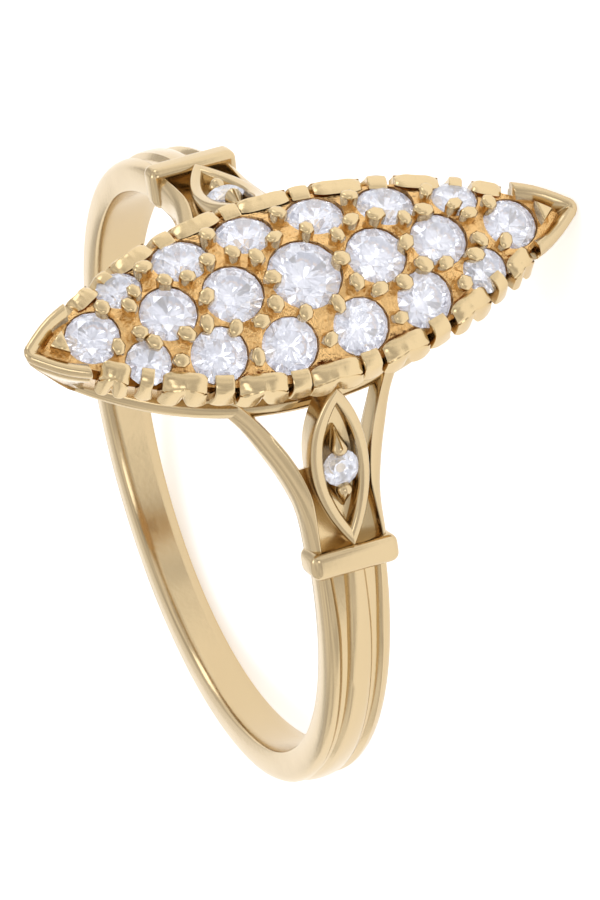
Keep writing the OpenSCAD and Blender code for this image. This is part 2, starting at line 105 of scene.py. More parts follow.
def leaf_x(y, arc=HEAD_ARC_R):
    """Half width of the head's outline at a place along it."""
    return math.sqrt(arc * arc - y * y) - HEAD_ARC_C


def leaf_tip(arc=HEAD_ARC_R):
    return math.sqrt(arc * arc - HEAD_ARC_C ** 2)


print("head outline arcs:", round(HEAD_ARC_R, 3), "mm, tip at", round(leaf_tip(), 3), "mm")

# %% Lay a finished piece down
tilt = math.radians(REST_TILT)
LAID = Matrix(((-1, 0, 0), (0, -math.sin(tilt), -math.cos(tilt)), (0, -math.cos(tilt), math.sin(tilt))))
LAY_DOWN = LAID.to_4x4() @ Matrix.Scale(MM, 4)


def only(obj):
    """Selects one object and nothing else, and makes it the active one."""
    if bpy.context.mode != "OBJECT":
        bpy.ops.object.mode_set(mode="OBJECT")
    bpy.ops.object.select_all(action="DESELECT")
    obj.select_set(True)
    bpy.context.view_layer.objects.active = obj
    return obj


def settle(obj):
    """Moves a piece's place, turn and size into its mesh."""
    only(obj)
    bpy.ops.object.transform_apply(location=True, rotation=True, scale=True)
    return obj


def finish_piece(obj, material, angle=40):
    """Smooths a piece, gives it its material, lays it down and ties it to the ring."""
    settle(obj)
    bpy.ops.object.shade_smooth_by_angle(angle=math.radians(angle))
    obj.data.materials.clear()
    obj.data.materials.append(material)
    obj.matrix_world = LAY_DOWN
    settle(obj)
    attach(obj, "root")
    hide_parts("gold_mount")
    return obj


bpy.ops.object.select_all(action="DESELECT")
print("laid-down axes:", [[round(v, 3) for v in row] for row in LAID])

# %% [markdown]
# Editing by hand means picking corners and faces and then moving, scaling or extruding them. A few helpers
# do the picking by place, so that each later cell reads as the moves that a modeller would make.


# %% Open, pick and move
def edit(obj):
    """Opens a piece in edit mode with nothing picked."""
    only(obj)
    bpy.ops.object.mode_set(mode="EDIT")
    bpy.ops.mesh.select_mode(type="VERT")
    bpy.ops.mesh.select_all(action="DESELECT")
    return obj


def close():
    bpy.ops.object.mode_set(mode="OBJECT")


def pick(obj, kind, test):
    """Picks the corners or faces whose place passes the test, and only those."""
    bpy.ops.mesh.select_mode(type={"verts": "VERT", "faces": "FACE"}[kind])
    bpy.ops.mesh.select_all(action="DESELECT")
    mesh = bmesh.from_edit_mesh(obj.data)
    for item in getattr(mesh, kind):
        place = item.co if kind == "verts" else item.calc_center_median()
        if test(place):
            item.select_set(True)
    mesh.select_flush_mode()
    bmesh.update_edit_mesh(obj.data)


def shift(x=0.0, y=0.0, z=0.0):
    bpy.ops.transform.translate(value=(x, y, z))


def grow(x=1.0, y=1.0, z=1.0, centre=(0, 0, 0)):
    bpy.ops.transform.resize(value=(x, y, z), center_override=centre)


print("moves ready: pick, shift, grow")

# %% [markdown]
# Shapes are also cleaned, rounded and repeated. A modifier is applied at once, so that the next move works
# on the real mesh. A mirrored copy has its faces turned outwards again, because a mirror turns them inside
# out.


# %% Apply, clean and copy
def add_modifier(obj, kind, **settings):
    """Adds a modifier, sets it and applies it."""
    only(obj)
    modifier = obj.modifiers.new(kind.title(), kind)
    for key, value in settings.items():
        setattr(modifier, key, value)
    bpy.ops.object.modifier_apply(modifier=modifier.name)
    return obj


def tidy_mesh(obj, distance=0.0005):
    """Merges doubles and turns every face outwards."""
    edit(obj)
    bpy.ops.mesh.select_all(action="SELECT")
    bpy.ops.mesh.remove_doubles(threshold=distance)
    bpy.ops.mesh.normals_make_consistent(inside=False)
    close()
    return obj


def copy_of(obj, name):
    """A copy with its own mesh."""
    twin = obj.copy()
    twin.data = obj.data.copy()
    twin.name = name
    twin.data.name = name
    bpy.context.scene.collection.objects.link(twin)
    return twin


def mirrored(obj, name, x=1.0, y=1.0):
    """A mirrored copy, with its faces turned outwards again."""
    twin = copy_of(obj, name)
    twin.scale = (x, y, 1.0)
    return tidy_mesh(settle(twin))


def named(name):
    """The primitive that was just added, under its own name."""
    obj = bpy.context.view_layer.objects.active
    obj.name = name
    obj.data.name = name
    return obj


print("copies ready: copy_of, mirrored")

# %% [markdown]
# Most of this ring is bars and walls whose section changes on the way. Such a shape is drawn out: one loop
# of corners is made and extruded, and each new loop is dragged to where the section has got to.


# %% Draw out from loop to loop
def drag_loop(obj, before, after):
    """Drags each picked corner from its place in one loop to its place in the next loop."""
    mesh = bmesh.from_edit_mesh(obj.data)
    for corner in [v for v in mesh.verts if v.select]:
        nearest = min(range(len(before)), key=lambda i: (corner.co - before[i]).length_squared)
        corner.co = after[nearest]
    bmesh.update_edit_mesh(obj.data)


def first_loop(name, loop, fill):
    """A circle primitive with one corner for each point of the loop, dragged onto it."""
    bpy.ops.mesh.primitive_circle_add(vertices=len(loop), radius=1, fill_type=fill)
    obj = edit(named(name))
    mesh = bmesh.from_edit_mesh(obj.data)
    for corner, place in zip(mesh.verts, loop):
        corner.co = place
    bmesh.update_edit_mesh(obj.data)
    bpy.ops.mesh.select_all(action="SELECT")
    return obj


def drawn_out(name, loops):
    """A bar: a flat face is extruded from loop to loop, and each new loop is dragged to its place."""
    obj = first_loop(name, loops[0], "NGON")
    for before, after in zip(loops, loops[1:]):
        bpy.ops.mesh.extrude_region_move()
        drag_loop(obj, before, after)
    close()
    return tidy_mesh(obj)


def drawn_round(name, loops):
    """A ring-shaped wall: an open loop is extruded round its section and bridged to where it began."""
    obj = first_loop(name, loops[0], "NOTHING")
    for before, after in zip(loops, loops[1:]):
        bpy.ops.mesh.extrude_region_move()
        drag_loop(obj, before, after)
    bpy.ops.mesh.select_all(action="DESELECT")
    bpy.ops.mesh.select_mode(type="EDGE")
    bpy.ops.mesh.select_non_manifold(extend=False)
    bpy.ops.mesh.bridge_edge_loops()
    close()
    return tidy_mesh(obj)


print("bars and walls ready: drawn_out, drawn_round")

# %% [markdown]
# Materials are nodes that are wired together. Four small helpers place the nodes that come up again and
# again: a soft noise, a value stretched to another range, a product and a mix of two colours.


# %% Helpers for nodes
def link(tree, source, target):
    tree.links.new(source, target)


def noise(tree, place, scale, detail):
    """A soft noise over a place, from 0 to 1."""
    node = tree.nodes.new("ShaderNodeTexNoise")
    node.inputs["Scale"].default_value = scale
    node.inputs["Detail"].default_value = detail
    link(tree, place, node.inputs["Vector"])
    return node


def stretched(tree, value, start, end, low, high):
    """A value that runs from start to end, stretched so that it runs from low to high."""
    node = tree.nodes.new("ShaderNodeMapRange")
    for key, number in (("From Min", start), ("From Max", end), ("To Min", low), ("To Max", high)):
        node.inputs[key].default_value = number
    link(tree, value, node.inputs["Value"])
    return node


def product(tree, first, second):
    node = tree.nodes.new("ShaderNodeMath")
    node.operation = "MULTIPLY"
    link(tree, first, node.inputs[0])
    link(tree, second, node.inputs[1])
    return node.outputs["Value"]


def colour_mix(tree, factor):
    """A mix of two colours, A and B, which a value steers."""
    node = tree.nodes.new("ShaderNodeMix")
    node.data_type = "RGBA"
    link(tree, factor, node.inputs["Factor"])
    return node


print("node helpers ready")

# %% [markdown]
# Eighteen carat gold with a jeweller's polish is a clean metal with a pale straw colour. Long wear leaves
# very fine scratches and a slightly uneven shine. The corners also get painted shade: a warm brown colour
# that is mixed in, in uneven patches, where an ambient occlusion test finds other gold close by. These
# effects are the same on every piece, so they are one node group with named inputs: it puts out a colour, a
# roughness and a height, and each gold material feeds them to its own shader.


# %% Node group: worn gold with painted corner shade
CORNER_SHADE_REACH = 0.0005


def worn_and_shaded_gold_group():
    """Gold with painted shade in its corners, fine scratches and an uneven shine."""
    group = bpy.data.node_groups.new("worn_and_shaded_gold", "ShaderNodeTree")
    sockets = (("Polished colour", "NodeSocketColor", (1.0, 0.84, 0.52, 1)),
               ("Corner shade colour", "NodeSocketColor", (0.5, 0.27, 0.08, 1)),
               ("Corner shade strength", "NodeSocketFloat", 0.6), ("Smoothest", "NodeSocketFloat", 0.08),
               ("Roughest", "NodeSocketFloat", 0.24), ("Grain scale", "NodeSocketFloat", 9000.0))
    for name, kind, value in sockets:
        socket = group.interface.new_socket(name=name, in_out="INPUT", socket_type=kind)
        socket.default_value = value
    for name in ("Colour", "Roughness", "Height"):
        kind = "NodeSocketColor" if name == "Colour" else "NodeSocketFloat"
        group.interface.new_socket(name=name, in_out="OUTPUT", socket_type=kind)
    enter, leave = group.nodes.new("NodeGroupInput"), group.nodes.new("NodeGroupOutput")
    place = group.nodes.new("ShaderNodeTexCoord").outputs["Object"]
    cloud = noise(group, place, 700.0, 3.0)
    grain = noise(group, place, 1.0, 4.0)
    link(group, enter.outputs["Grain scale"], grain.inputs["Scale"])
    # Painted shade: where the ambient occlusion finds gold close by, the colour is mixed towards the corner
    # shade colour.
    corner = group.nodes.new("ShaderNodeAmbientOcclusion")
    corner.samples = 6
    corner.inputs["Distance"].default_value = CORNER_SHADE_REACH
    depth = stretched(group, corner.outputs["AO"], 0.25, 0.85, 1.0, 0.0)
    painted_shade = product(group, depth.outputs["Result"], enter.outputs["Corner shade strength"])
    patchy = stretched(group, cloud.outputs["Fac"], 0.3, 0.65, 0.6, 1.0)
    colour = colour_mix(group, product(group, painted_shade, patchy.outputs["Result"]))
    link(group, enter.outputs["Polished colour"], colour.inputs["A"])
    link(group, enter.outputs["Corner shade colour"], colour.inputs["B"])
    shine = stretched(group, cloud.outputs["Fac"], 0.0, 1.0, 0.1, 0.3)
    link(group, enter.outputs["Smoothest"], shine.inputs["To Min"])
    link(group, enter.outputs["Roughest"], shine.inputs["To Max"])
    link(group, colour.outputs["Result"], leave.inputs["Colour"])
    link(group, shine.outputs["Result"], leave.inputs["Roughness"])
    link(group, grain.outputs["Fac"], leave.inputs["Height"])
    return group


worn_and_shaded_gold = worn_and_shaded_gold_group()
print("node group:", worn_and_shaded_gold.name, "with", len(worn_and_shaded_gold.nodes), "nodes")

# %% [markdown]
# The same gold looks different from place to place. Broad polished faces are pale and smooth, the claws
# are a little rougher, and the sunk parts are painted warmer, and the recess behind the claws a little
# darker, to stand for the light that goes from gold to gold and takes its colour twice, and for the shade
# there. The bed between the stones also has a deep grain, which stands for the small cuts of the graver.
# So each kind of place has its own material, which uses the group with its own values.


# %% Gold materials
def gold_material(name, polished, corner, painted_shade, smoothest, roughest, grain_scale, grain_height):
    """A gold surface: the shared group of wear and painted corner shade feeds this material's own metal
    shader.
    """
    material = bpy.data.materials.new(name)
    material.use_nodes = True
    tree = material.node_tree
    shader = tree.nodes["Principled BSDF"]
    shader.inputs["Metallic"].default_value = 1.0
    wear = tree.nodes.new("ShaderNodeGroup")
    wear.node_tree = worn_and_shaded_gold
    settings = {"Polished colour": polished, "Corner shade colour": corner, "Corner shade strength": painted_shade, "Smoothest": smoothest,
                "Roughest": roughest, "Grain scale": grain_scale}
    for key, value in settings.items():
        wear.inputs[key].default_value = value
    bump = tree.nodes.new("ShaderNodeBump")
    bump.inputs["Strength"].default_value = 0.5
    bump.inputs["Distance"].default_value = grain_height
    link(tree, wear.outputs["Colour"], shader.inputs["Base Color"])
    link(tree, wear.outputs["Roughness"], shader.inputs["Roughness"])
    link(tree, wear.outputs["Height"], bump.inputs["Height"])
    link(tree, bump.outputs["Normal"], shader.inputs["Normal"])
    return material


polished_gold = gold_material("polished_gold", (0.6, 0.465, 0.275, 1), (0.54, 0.38, 0.18, 1), painted_shade=0.24,
                              smoothest=0.1, roughest=0.26, grain_scale=5000.0, grain_height=0.000004)
claw_gold = gold_material("claw_gold", (0.65, 0.5, 0.285, 1), (0.6, 0.4, 0.18, 1), painted_shade=0.34,
                          smoothest=0.12, roughest=0.28, grain_scale=6000.0, grain_height=0.000006)
# The bed and the recess get painted light and shade: warmer colours than the polished gold, the recess
# darker, and more painted corner shade.
bed_gold = gold_material("bed_gold", (0.74, 0.47, 0.2, 1), (0.58, 0.31, 0.1, 1), painted_shade=0.55,
                         smoothest=0.16, roughest=0.4, grain_scale=2600.0, grain_height=0.0004)
recess_gold = gold_material("recess_gold", (0.64, 0.44, 0.2, 1), (0.44, 0.25, 0.08, 1), painted_shade=0.7,
                            smoothest=0.16, roughest=0.34, grain_scale=3200.0, grain_height=0.00004)
print("gold materials: 4")

# %% [markdown]
# A diamond bends light far more than glass does, and that, with its flat facets, is what makes it flash.
# The shader is a clear glass with diamond's index of refraction and a breath of lavender. Small old stones
# are rarely quite clean, so that a faint cloud varies the tint inside them. A cut stone also throws light
# back from all round, more than a short render can gather, and a very slight glow stands for that.


# %% Diamond material
def diamond_material():
    material = bpy.data.materials.new("old_cut_diamond")
    material.use_nodes = True
    tree = material.node_tree
    shader = tree.nodes["Principled BSDF"]
    for key, value in (("Metallic", 0.0), ("Roughness", 0.0), ("IOR", 2.42), ("Transmission Weight", 0.84),
                       ("Emission Strength", 0.065)):
        shader.inputs[key].default_value = value
    shader.inputs["Emission Color"].default_value = (0.82, 0.86, 1.0, 1)
    cloud = noise(tree, tree.nodes.new("ShaderNodeTexCoord").outputs["Object"], 1800.0, 2.0)
    tint = colour_mix(tree, cloud.outputs["Fac"])
    tint.inputs["A"].default_value = (0.86, 0.88, 1.0, 1)
    tint.inputs["B"].default_value = (0.96, 0.96, 1.0, 1)
    link(tree, tint.outputs["Result"], shader.inputs["Base Color"])
    return material


diamond = diamond_material()
stones = [obj for name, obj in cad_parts.items() if "diamond" in name]
for obj in stones:
    obj.data.materials.clear()
    obj.data.materials.append(diamond)
print("diamonds:", len(stones))

# %% [markdown]
# The shank is the plain part of the band, from one collar round the back of the finger to the other. Two
# grooves part it into three reeds; they start wide under the collars and run out near the back, where the
# band is also narrowest. A lathe or a plain spin would keep one section all the way, so the section is
# extruded step by step round the finger, and its corners are dragged to the width that each place needs.

# %% Sizes of the shank
SHANK_HALF_BACK, SHANK_HALF_TOP = 0.625, 1.08
SHANK_CROWN_R = 3.0
SHANK_STEPS = 120
GROOVE_DEPTH = 0.2
REED_HALF_TOP, REED_HALF_NECK = 0.25, 0.32
GROOVE_TOP, GROOVE_NECK = 0.5, 0.3
NECK_DROP = 1.9
GROOVE_END = 1.2
COLLAR_Z = SHANK_R * math.cos(math.radians(COLLAR_ANGLE))


def share(value, low, high):
    """How far a value lies between two others, from 0 to 1."""
    return min(max((value - low) / (high - low), 0.0), 1.0)


def blend(a, b, t):
    return a + (b - a) * t


def around(angle, radius, y):
    """A place at an angle from the top of the ring."""
    return Vector((radius * math.sin(math.radians(angle)), y, radius * math.cos(math.radians(angle))))


def shank_section(angle):
    """The band's section: crowned reeds and grooves outside, and a softly rounded face to the finger."""
    z = SHANK_R * math.cos(math.radians(angle))
    half = blend(SHANK_HALF_BACK, SHANK_HALF_TOP, share(z, -SHANK_R, COLLAR_Z))
    neck = share(z, COLLAR_Z - NECK_DROP, COLLAR_Z)
    fade = share(z, GROOVE_END - SHANK_R, COLLAR_Z - NECK_DROP)
    reed = blend(blend(SHANK_HALF_BACK / 2, REED_HALF_NECK, fade), REED_HALF_TOP, neck)
    groove = blend(blend(0.1, GROOVE_NECK, fade), GROOVE_TOP, neck)
    depth = GROOVE_DEPTH * math.sqrt(fade)
    outer = reed + groove
    side = half - outer
    wall = min(0.07, groove / 3)
    rows = [(0.0, 0.0), (0.5 * reed, 0.005), (0.85 * reed, 0.03), (reed, 0.3 * depth + 0.03),
            (reed + wall, depth), (outer - wall, depth), (outer, 0.3 * depth + 0.03),
            (outer + 0.2 * side, 0.015), (outer + 0.5 * side, 0.01), (outer + 0.8 * side, 0.05),
            (half - 0.03, 0.11), (half, 0.2)]
    crown = SHANK_R - SHANK_CROWN_R
    top = [(y, crown + math.sqrt(SHANK_CROWN_R ** 2 - y * y) - drop) for y, drop in rows]
    low = [(half, FINGER_R + 0.11), (half - 0.03, FINGER_R + 0.04), (half - 0.1, FINGER_R),
           (half / 2, FINGER_R)]
    right = top + low
    left = [(-y, r) for y, r in reversed(right) if y > 0]
    return [around(angle, r, y) for y, r in right + [(0.0, FINGER_R)] + left]


# %% Draw the shank out
step = (360 - 2 * COLLAR_ANGLE) / SHANK_STEPS
shank = drawn_out("shank_band", [shank_section(COLLAR_ANGLE + i * step) for i in range(SHANK_STEPS + 1)])
finish_piece(shank, polished_gold, angle=35)
print("shank:", len(shank.data.polygons), "faces")

# %% [markdown]
# A collar covers the joint of shank and shoulder: a short band, proud all round, with well-rounded edges.
# It starts as a cube, its foot is drawn in towards the finger, and a bevel in several steps rounds it.

# %% Collars
COLLAR_L, COLLAR_W, COLLAR_R = 0.86, 2.72, 9.76
COLLAR_ROUND = 0.28


def collar(name, side):
    middle = (FINGER_R + COLLAR_R) / 2
    bpy.ops.object.select_all(action="DESELECT")
    bpy.ops.mesh.primitive_cube_add(size=1, location=(0, 0, middle),
                                    scale=(COLLAR_L, COLLAR_W, COLLAR_R - FINGER_R))
    obj = edit(settle(named(name)))
    pick(obj, "verts", lambda p: p.z < FINGER_R + 0.01)
    grow(x=0.95, y=0.98)
    close()
    add_modifier(obj, "BEVEL", width=COLLAR_ROUND, segments=6, limit_method="ANGLE",
                 angle_limit=math.radians(50))
    obj.rotation_euler = (0, math.radians(side * COLLAR_ANGLE), 0)
    return finish_piece(obj, polished_gold, angle=60)


collars = [collar("collar_near", 1), collar("collar_far", -1)]
print("collars:", [len(obj.data.polygons) for obj in collars], "faces")

# %% [markdown]
# Above each collar the shoulder splits into two arms that spread to the gallery rail. An arm has a flat
# outer face, a thin ridge and a sloping inner side, and between the arms is an open triangle with a sunk
# web below it. The arm is drawn out through a short table: the angle from the top of the ring, where its
# outer edge, its ridge and its foot lie across the band, and the radius of its underside. One level of
# subdivision then rounds it.

# %% Arms of the split shoulders
ARM_R = 9.5
# angle, outer edge, ridge, foot, underside's radius
ARM_ROWS = [(46.5, 1.17, 0.98, 0.93, 8.5), (43, 1.18, 1.0, 0.95, 8.5), (40, 1.2, 1.0, 0.93, 8.5),
            (36, 1.2, 0.96, 0.86, 8.5), (33, 1.27, 0.94, 0.82, 8.5), (31, 1.35, 0.96, 0.82, 8.5),
            (28, 1.5, 1.07, 0.84, 8.51), (25, 1.68, 1.22, 0.96, 8.54), (22, 1.9, 1.43, 1.14, 8.6),
            (19, 2.11, 1.69, 1.38, 8.7), (16.5, 2.32, 1.92, 1.6, 8.8), (14, 2.6, 2.2, 1.78, 8.88),
            (12.6, 2.8, 2.35, 1.84, 8.9), (11.6, 3.08, 2.55, 1.9, 8.92), (10.8, 3.48, 2.8, 1.95, 8.95),
            (10.2, 3.95, 3.1, 2.0, 8.98)]


def arm_section(row):
    angle, outer, ridge, foot, low = row
    corners = [(low, outer - 0.02), (low + 0.3, outer + 0.02), (ARM_R - 0.34, outer),
               (ARM_R - 0.13, outer - 0.06), (ARM_R, ridge + 0.02), (ARM_R + 0.03, ridge - 0.03),
               (ARM_R - 0.1, ridge - 0.09), ((ARM_R + low) / 2, (ridge + foot) / 2 - 0.05),
               (low, foot - 0.03)]
    return [around(angle, radius, y) for radius, y in corners]


arm = drawn_out("arm_near_1", [arm_section(row) for row in ARM_ROWS])
add_modifier(arm, "SUBSURF", levels=1, render_levels=1)
print("arm:", len(arm.data.polygons), "faces")

# %% [markdown]
# The web is a thin plate that joins the two arms near the collar. Its top is hollowed a little from arm to
# arm, and it ends where the open triangle begins. Arm and web are made for one side, and the others are
# mirrored from them.


# %% Webs between the arms
def web_section(angle):
    half, high = 1.05, blend(9.22, 9.1, share(angle, 26, 40))
    dip = 0.12
    columns = [half * k / 4 for k in range(-4, 5)]
    top = [around(angle, high - dip * (1 - (y / half) ** 2), y) for y in columns]
    return top + [around(angle, FINGER_R, half), around(angle, FINGER_R, 0), around(angle, FINGER_R, -half)]


WEB_ANGLES = (46.5, 43, 40, 37, 34, 31, 28.5, 26.4)
web = drawn_out("web_near", [web_section(angle) for angle in WEB_ANGLES])
for name, x, y in (("arm_near_2", 1, -1), ("arm_far_1", -1, 1), ("arm_far_2", -1, -1)):
    finish_piece(mirrored(arm, name, x, y), polished_gold, angle=35)
finish_piece(mirrored(web, "web_far", -1, 1), claw_gold)
finish_piece(arm, polished_gold, angle=35)
finish_piece(web, claw_gold)
print("web:", len(web.data.polygons), "faces")

# %% [markdown]
# On each shoulder lies a pointed eye: a polished rim, hollow from point to point like a leaf bent
# backwards, with a sunk floor that carries one small diamond between two drop-shaped beads. The eye is
# drawn out loop by loop from its foot, over the rim and down to the floor, in its own frame, and then
# turned onto the shoulder. The beads are spheres whose far side is pulled out into a tail.

# %% Sizes of the shoulder eyes
EYE_FOOT_R = SHANK_R + 0.2
EYE_FOOT_ANGLE = math.radians(COLLAR_ANGLE) - 0.375 / SHANK_R
# the eye's two points: across the ring, up
EYE_TOP = (HEAD_HALF_W, CLAW_LOW)
EYE_FOOT = (EYE_FOOT_R * math.sin(EYE_FOOT_ANGLE), EYE_FOOT_R * math.cos(EYE_FOOT_ANGLE))
EYE_MID = ((EYE_TOP[0] + EYE_FOOT[0]) / 2, (EYE_TOP[1] + EYE_FOOT[1]) / 2)
EYE_HALF_L = math.hypot(EYE_FOOT[0] - EYE_TOP[0], EYE_FOOT[1] - EYE_TOP[1]) / 2
EYE_HALF_W = 0.88
EYE_SAG = 0.34
EYE_BOW_R = (EYE_HALF_L ** 2 + EYE_SAG ** 2) / (2 * EYE_SAG)
EYE_TURN = math.atan2(EYE_TOP[1] - EYE_FOOT[1], EYE_FOOT[0] - EYE_TOP[0])
EYE_CORNERS = 64
STONE_SHIFT = 0.17
BEAD_OFF = 0.66
BEAD_TAIL = 0.36
# share of the length, share of the width, height over the hollow face
EYE_ROWS = [(0.97, 0.92, -1.0), (0.99, 0.99, -0.5), (1.0, 1.01, -0.16), (0.99, 0.99, -0.07),
            (0.97, 0.94, -0.015), (0.94, 0.88, 0.0), (0.83, 0.69, 0.0), (0.79, 0.63, -0.03),
            (0.76, 0.58, -0.11), (0.74, 0.55, -0.4), (0.4, 0.3, -0.46), (0.1, 0.06, -0.48)]


def bow(x):
    """Height of the eye's hollow face over its two points."""
    return EYE_BOW_R - EYE_SAG - math.sqrt(EYE_BOW_R ** 2 - x * x)


def leaf_loop(half_l, half_w, height, corners, bent=False):
    """A pointed outline of two arcs, along X, at a height or following the eye's hollow."""
    radius = (half_l ** 2 + half_w ** 2) / (2 * half_w)
    loop = []
    for i in range(corners):
        turned = 2 * math.pi * i / corners
        x = half_l * math.cos(turned)
        y = math.copysign(math.sqrt(radius ** 2 - x * x) - radius + half_w, math.sin(turned))
        loop.append(Vector((x, y if i % (corners // 2) else 0.0, height + (bow(x) if bent else 0.0))))
    return loop


print("eye:", round(2 * EYE_HALF_L, 2), "mm long, turned by", round(math.degrees(EYE_TURN), 1), "degrees")


# %% Make the eyes
def eye_piece(name):
    """An eye from its foot over the rim and down to its floor."""
    loops = [leaf_loop(long * EYE_HALF_L, wide * EYE_HALF_W, deep, EYE_CORNERS, bent=True)
             for long, wide, deep in EYE_ROWS]
    return drawn_out(name, loops)


def bead(name, place, tail, size):
    """A drop-shaped bead: a sphere, pulled out into a tail along X, and sunk into the floor."""
    bpy.ops.object.select_all(action="DESELECT")
    bpy.ops.mesh.primitive_uv_sphere_add(segments=16, ring_count=10, radius=size)
    obj = edit(named(name))
    way = math.copysign(1, tail)
    for out in (0.3, 0.6, 0.85):
        pick(obj, "verts", lambda p: p.x * way > size * out)
        shift(x=tail / 3, z=-size * 0.3)
        grow(y=0.7, z=0.8, centre=(0, 0, -size * 0.3))
    bpy.ops.mesh.select_all(action="SELECT")
    grow(z=1.25)
    shift(x=place, z=bow(place) - 0.12)
    close()
    return obj


def set_on_shoulder(obj):
    obj.location = (EYE_MID[0], 0, EYE_MID[1])
    obj.rotation_euler = (0, EYE_TURN, 0)
    return settle(obj)


eye_parts = [set_on_shoulder(eye_piece("eye_near")),
             set_on_shoulder(bead("eye_bead_near_1", STONE_SHIFT - BEAD_OFF, -BEAD_TAIL, size=0.27)),
             set_on_shoulder(bead("eye_bead_near_2", STONE_SHIFT + BEAD_OFF, BEAD_TAIL, size=0.25))]
for part in list(eye_parts):
    finish_piece(mirrored(part, part.name.replace("near", "far"), x=-1), polished_gold, angle=50)
for part in eye_parts:
    finish_piece(part, polished_gold, angle=50)
print("eye:", len(eye_parts[0].data.polygons), "faces")

# %% [markdown]
# The head is built up like a boat: the gallery rail is its keel line, a plain smooth bar in the outline of
# a pointed oval, and a thin wall leans out from it to carry the claws. Both are closed walls, so an open
# loop is extruded round their section and bridged to its start.

# %% Gallery rail
HEAD_CORNERS = 144


def along_y(loop):
    """Turns a loop that runs along X to run along the head."""
    return [Vector((p.y, p.x, p.z)) for p in loop]


def wall_loop(z, inset):
    arc = wall_arc(z) - inset
    return along_y(leaf_loop(leaf_tip(arc), leaf_x(0, arc), z, HEAD_CORNERS))


def rail_loop(inset, z):
    """The rail's outline, drawn in more at its points than at its sides, so that the bar stays as thick."""
    reach = 2.2 * inset
    return along_y(leaf_loop(RAIL_HALF_L - reach, RAIL_HALF_W - inset, z, HEAD_CORNERS))


# inset from the rail's outline, height
RAIL_SECTION = [(0.5, RAIL_LOW + 0.06), (0.44, RAIL_LOW), (0.1, RAIL_LOW), (0.03, RAIL_LOW + 0.05),
                (0.0, RAIL_LOW + 0.12), (0.0, RAIL_LOW + 0.24), (0.03, RAIL_LOW + 0.32),
                (0.07, RAIL_LOW + 0.37), (0.1, RAIL_HIGH - 0.04), (0.17, RAIL_HIGH), (0.44, RAIL_HIGH),
                (0.5, RAIL_HIGH - 0.06)]
rail = drawn_round("gallery_rail", [rail_loop(inset, z) for inset, z in RAIL_SECTION])
finish_piece(rail, polished_gold, angle=35)
print("rail:", len(rail.data.polygons), "faces")

# %% [markdown]
# Between the rail and the claws' feet the wall shows as a slightly sunk band, and above them as the dark
# slots from claw to claw. It stands a little behind the head's outline, so that the claws stand out.

# %% Head wall
WALL_T = 0.46
WALL_RECESS = 0.13
wall_outside = [wall_loop(z, WALL_RECESS) for z in (9.1, 9.6, 10.1, 10.6, 10.9, 11.15)]
wall_inside = [wall_loop(z, WALL_T) for z in (11.15, 10.6, 9.9, 9.1)]
wall = drawn_round("head_wall", wall_outside + wall_inside)
# The head wall's gold is painted darker and warmer, as the shade between the claws.
finish_piece(wall, recess_gold)
print("wall:", len(wall.data.polygons), "faces")

# %% [markdown]
# Inside the claws the metal is a domed bed, drilled from above for each stone, with a light hole right
# through under it. Where the places of the stones are needed, they are read from the frame, so that the
# bed always fits its diamonds. The drilling is a boolean cut, as a setting burr makes it.

# %% Where the diamonds sit
UPRIGHT = LAY_DOWN.inverted()


def stone_place(name):
    """A diamond's table middle, its axis and its diameter, read from its own corners."""
    corners = {}
    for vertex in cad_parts[name].data.vertices:
        place = UPRIGHT @ vertex.co
        corners[tuple(round(c, 3) for c in place)] = place
    middle = sum(corners.values(), Vector()) / len(corners)
    culet = min(corners.values(), key=lambda p: p.z)
    axis = (middle - culet).normalized()
    height = max((p - culet).dot(axis) for p in corners.values())
    radius = max(((p - culet) - axis * (p - culet).dot(axis)).length for p in corners.values())
    return culet + axis * height, axis, 2 * radius


HEAD_STONES = [stone_place(f"head_diamond_{number}") for number in range(1, 20)]
for place, axis, width in HEAD_STONES[:3]:
    print("head stone at", [round(c, 2) for c in place], "with a width of", round(width, 2))

# %% [markdown]
# The bed is drawn out as a solid lens: from the middle of its underside out to the edge, and back over the
# dome to the middle. Then each seat is cut with a burr that is a cone below and straight above, and each
# light hole with a drill.

# %% The bed and its seats
BED_DROP = 0.13
BED_T = 0.8
BED_INSET = 0.3
BED_SHRINKS = [0.02, 0.15, 0.3, 0.45, 0.6, 0.75, 0.9, 1.0]
SEAT_CLEAR = 0.03
# depths under the table and the hole's radius, as shares of the diamond's width
SEAT_LOW, SEAT_GIRDLE = 0.56, 0.18
PAVILION_DEPTH = 0.42
LIGHT_HOLE_R = 0.2


def bed_loop(shrink, sunk=0.0):
    arc = wall_arc(RIM_Z - sunk * 1.2) - BED_INSET
    loop = along_y(leaf_loop(leaf_tip(arc) * shrink, leaf_x(0, arc) * shrink, 0, HEAD_CORNERS // 2))
    return [Vector((p.x, p.y, dome_z(p.x, p.y, -BED_DROP) - sunk)) for p in loop]


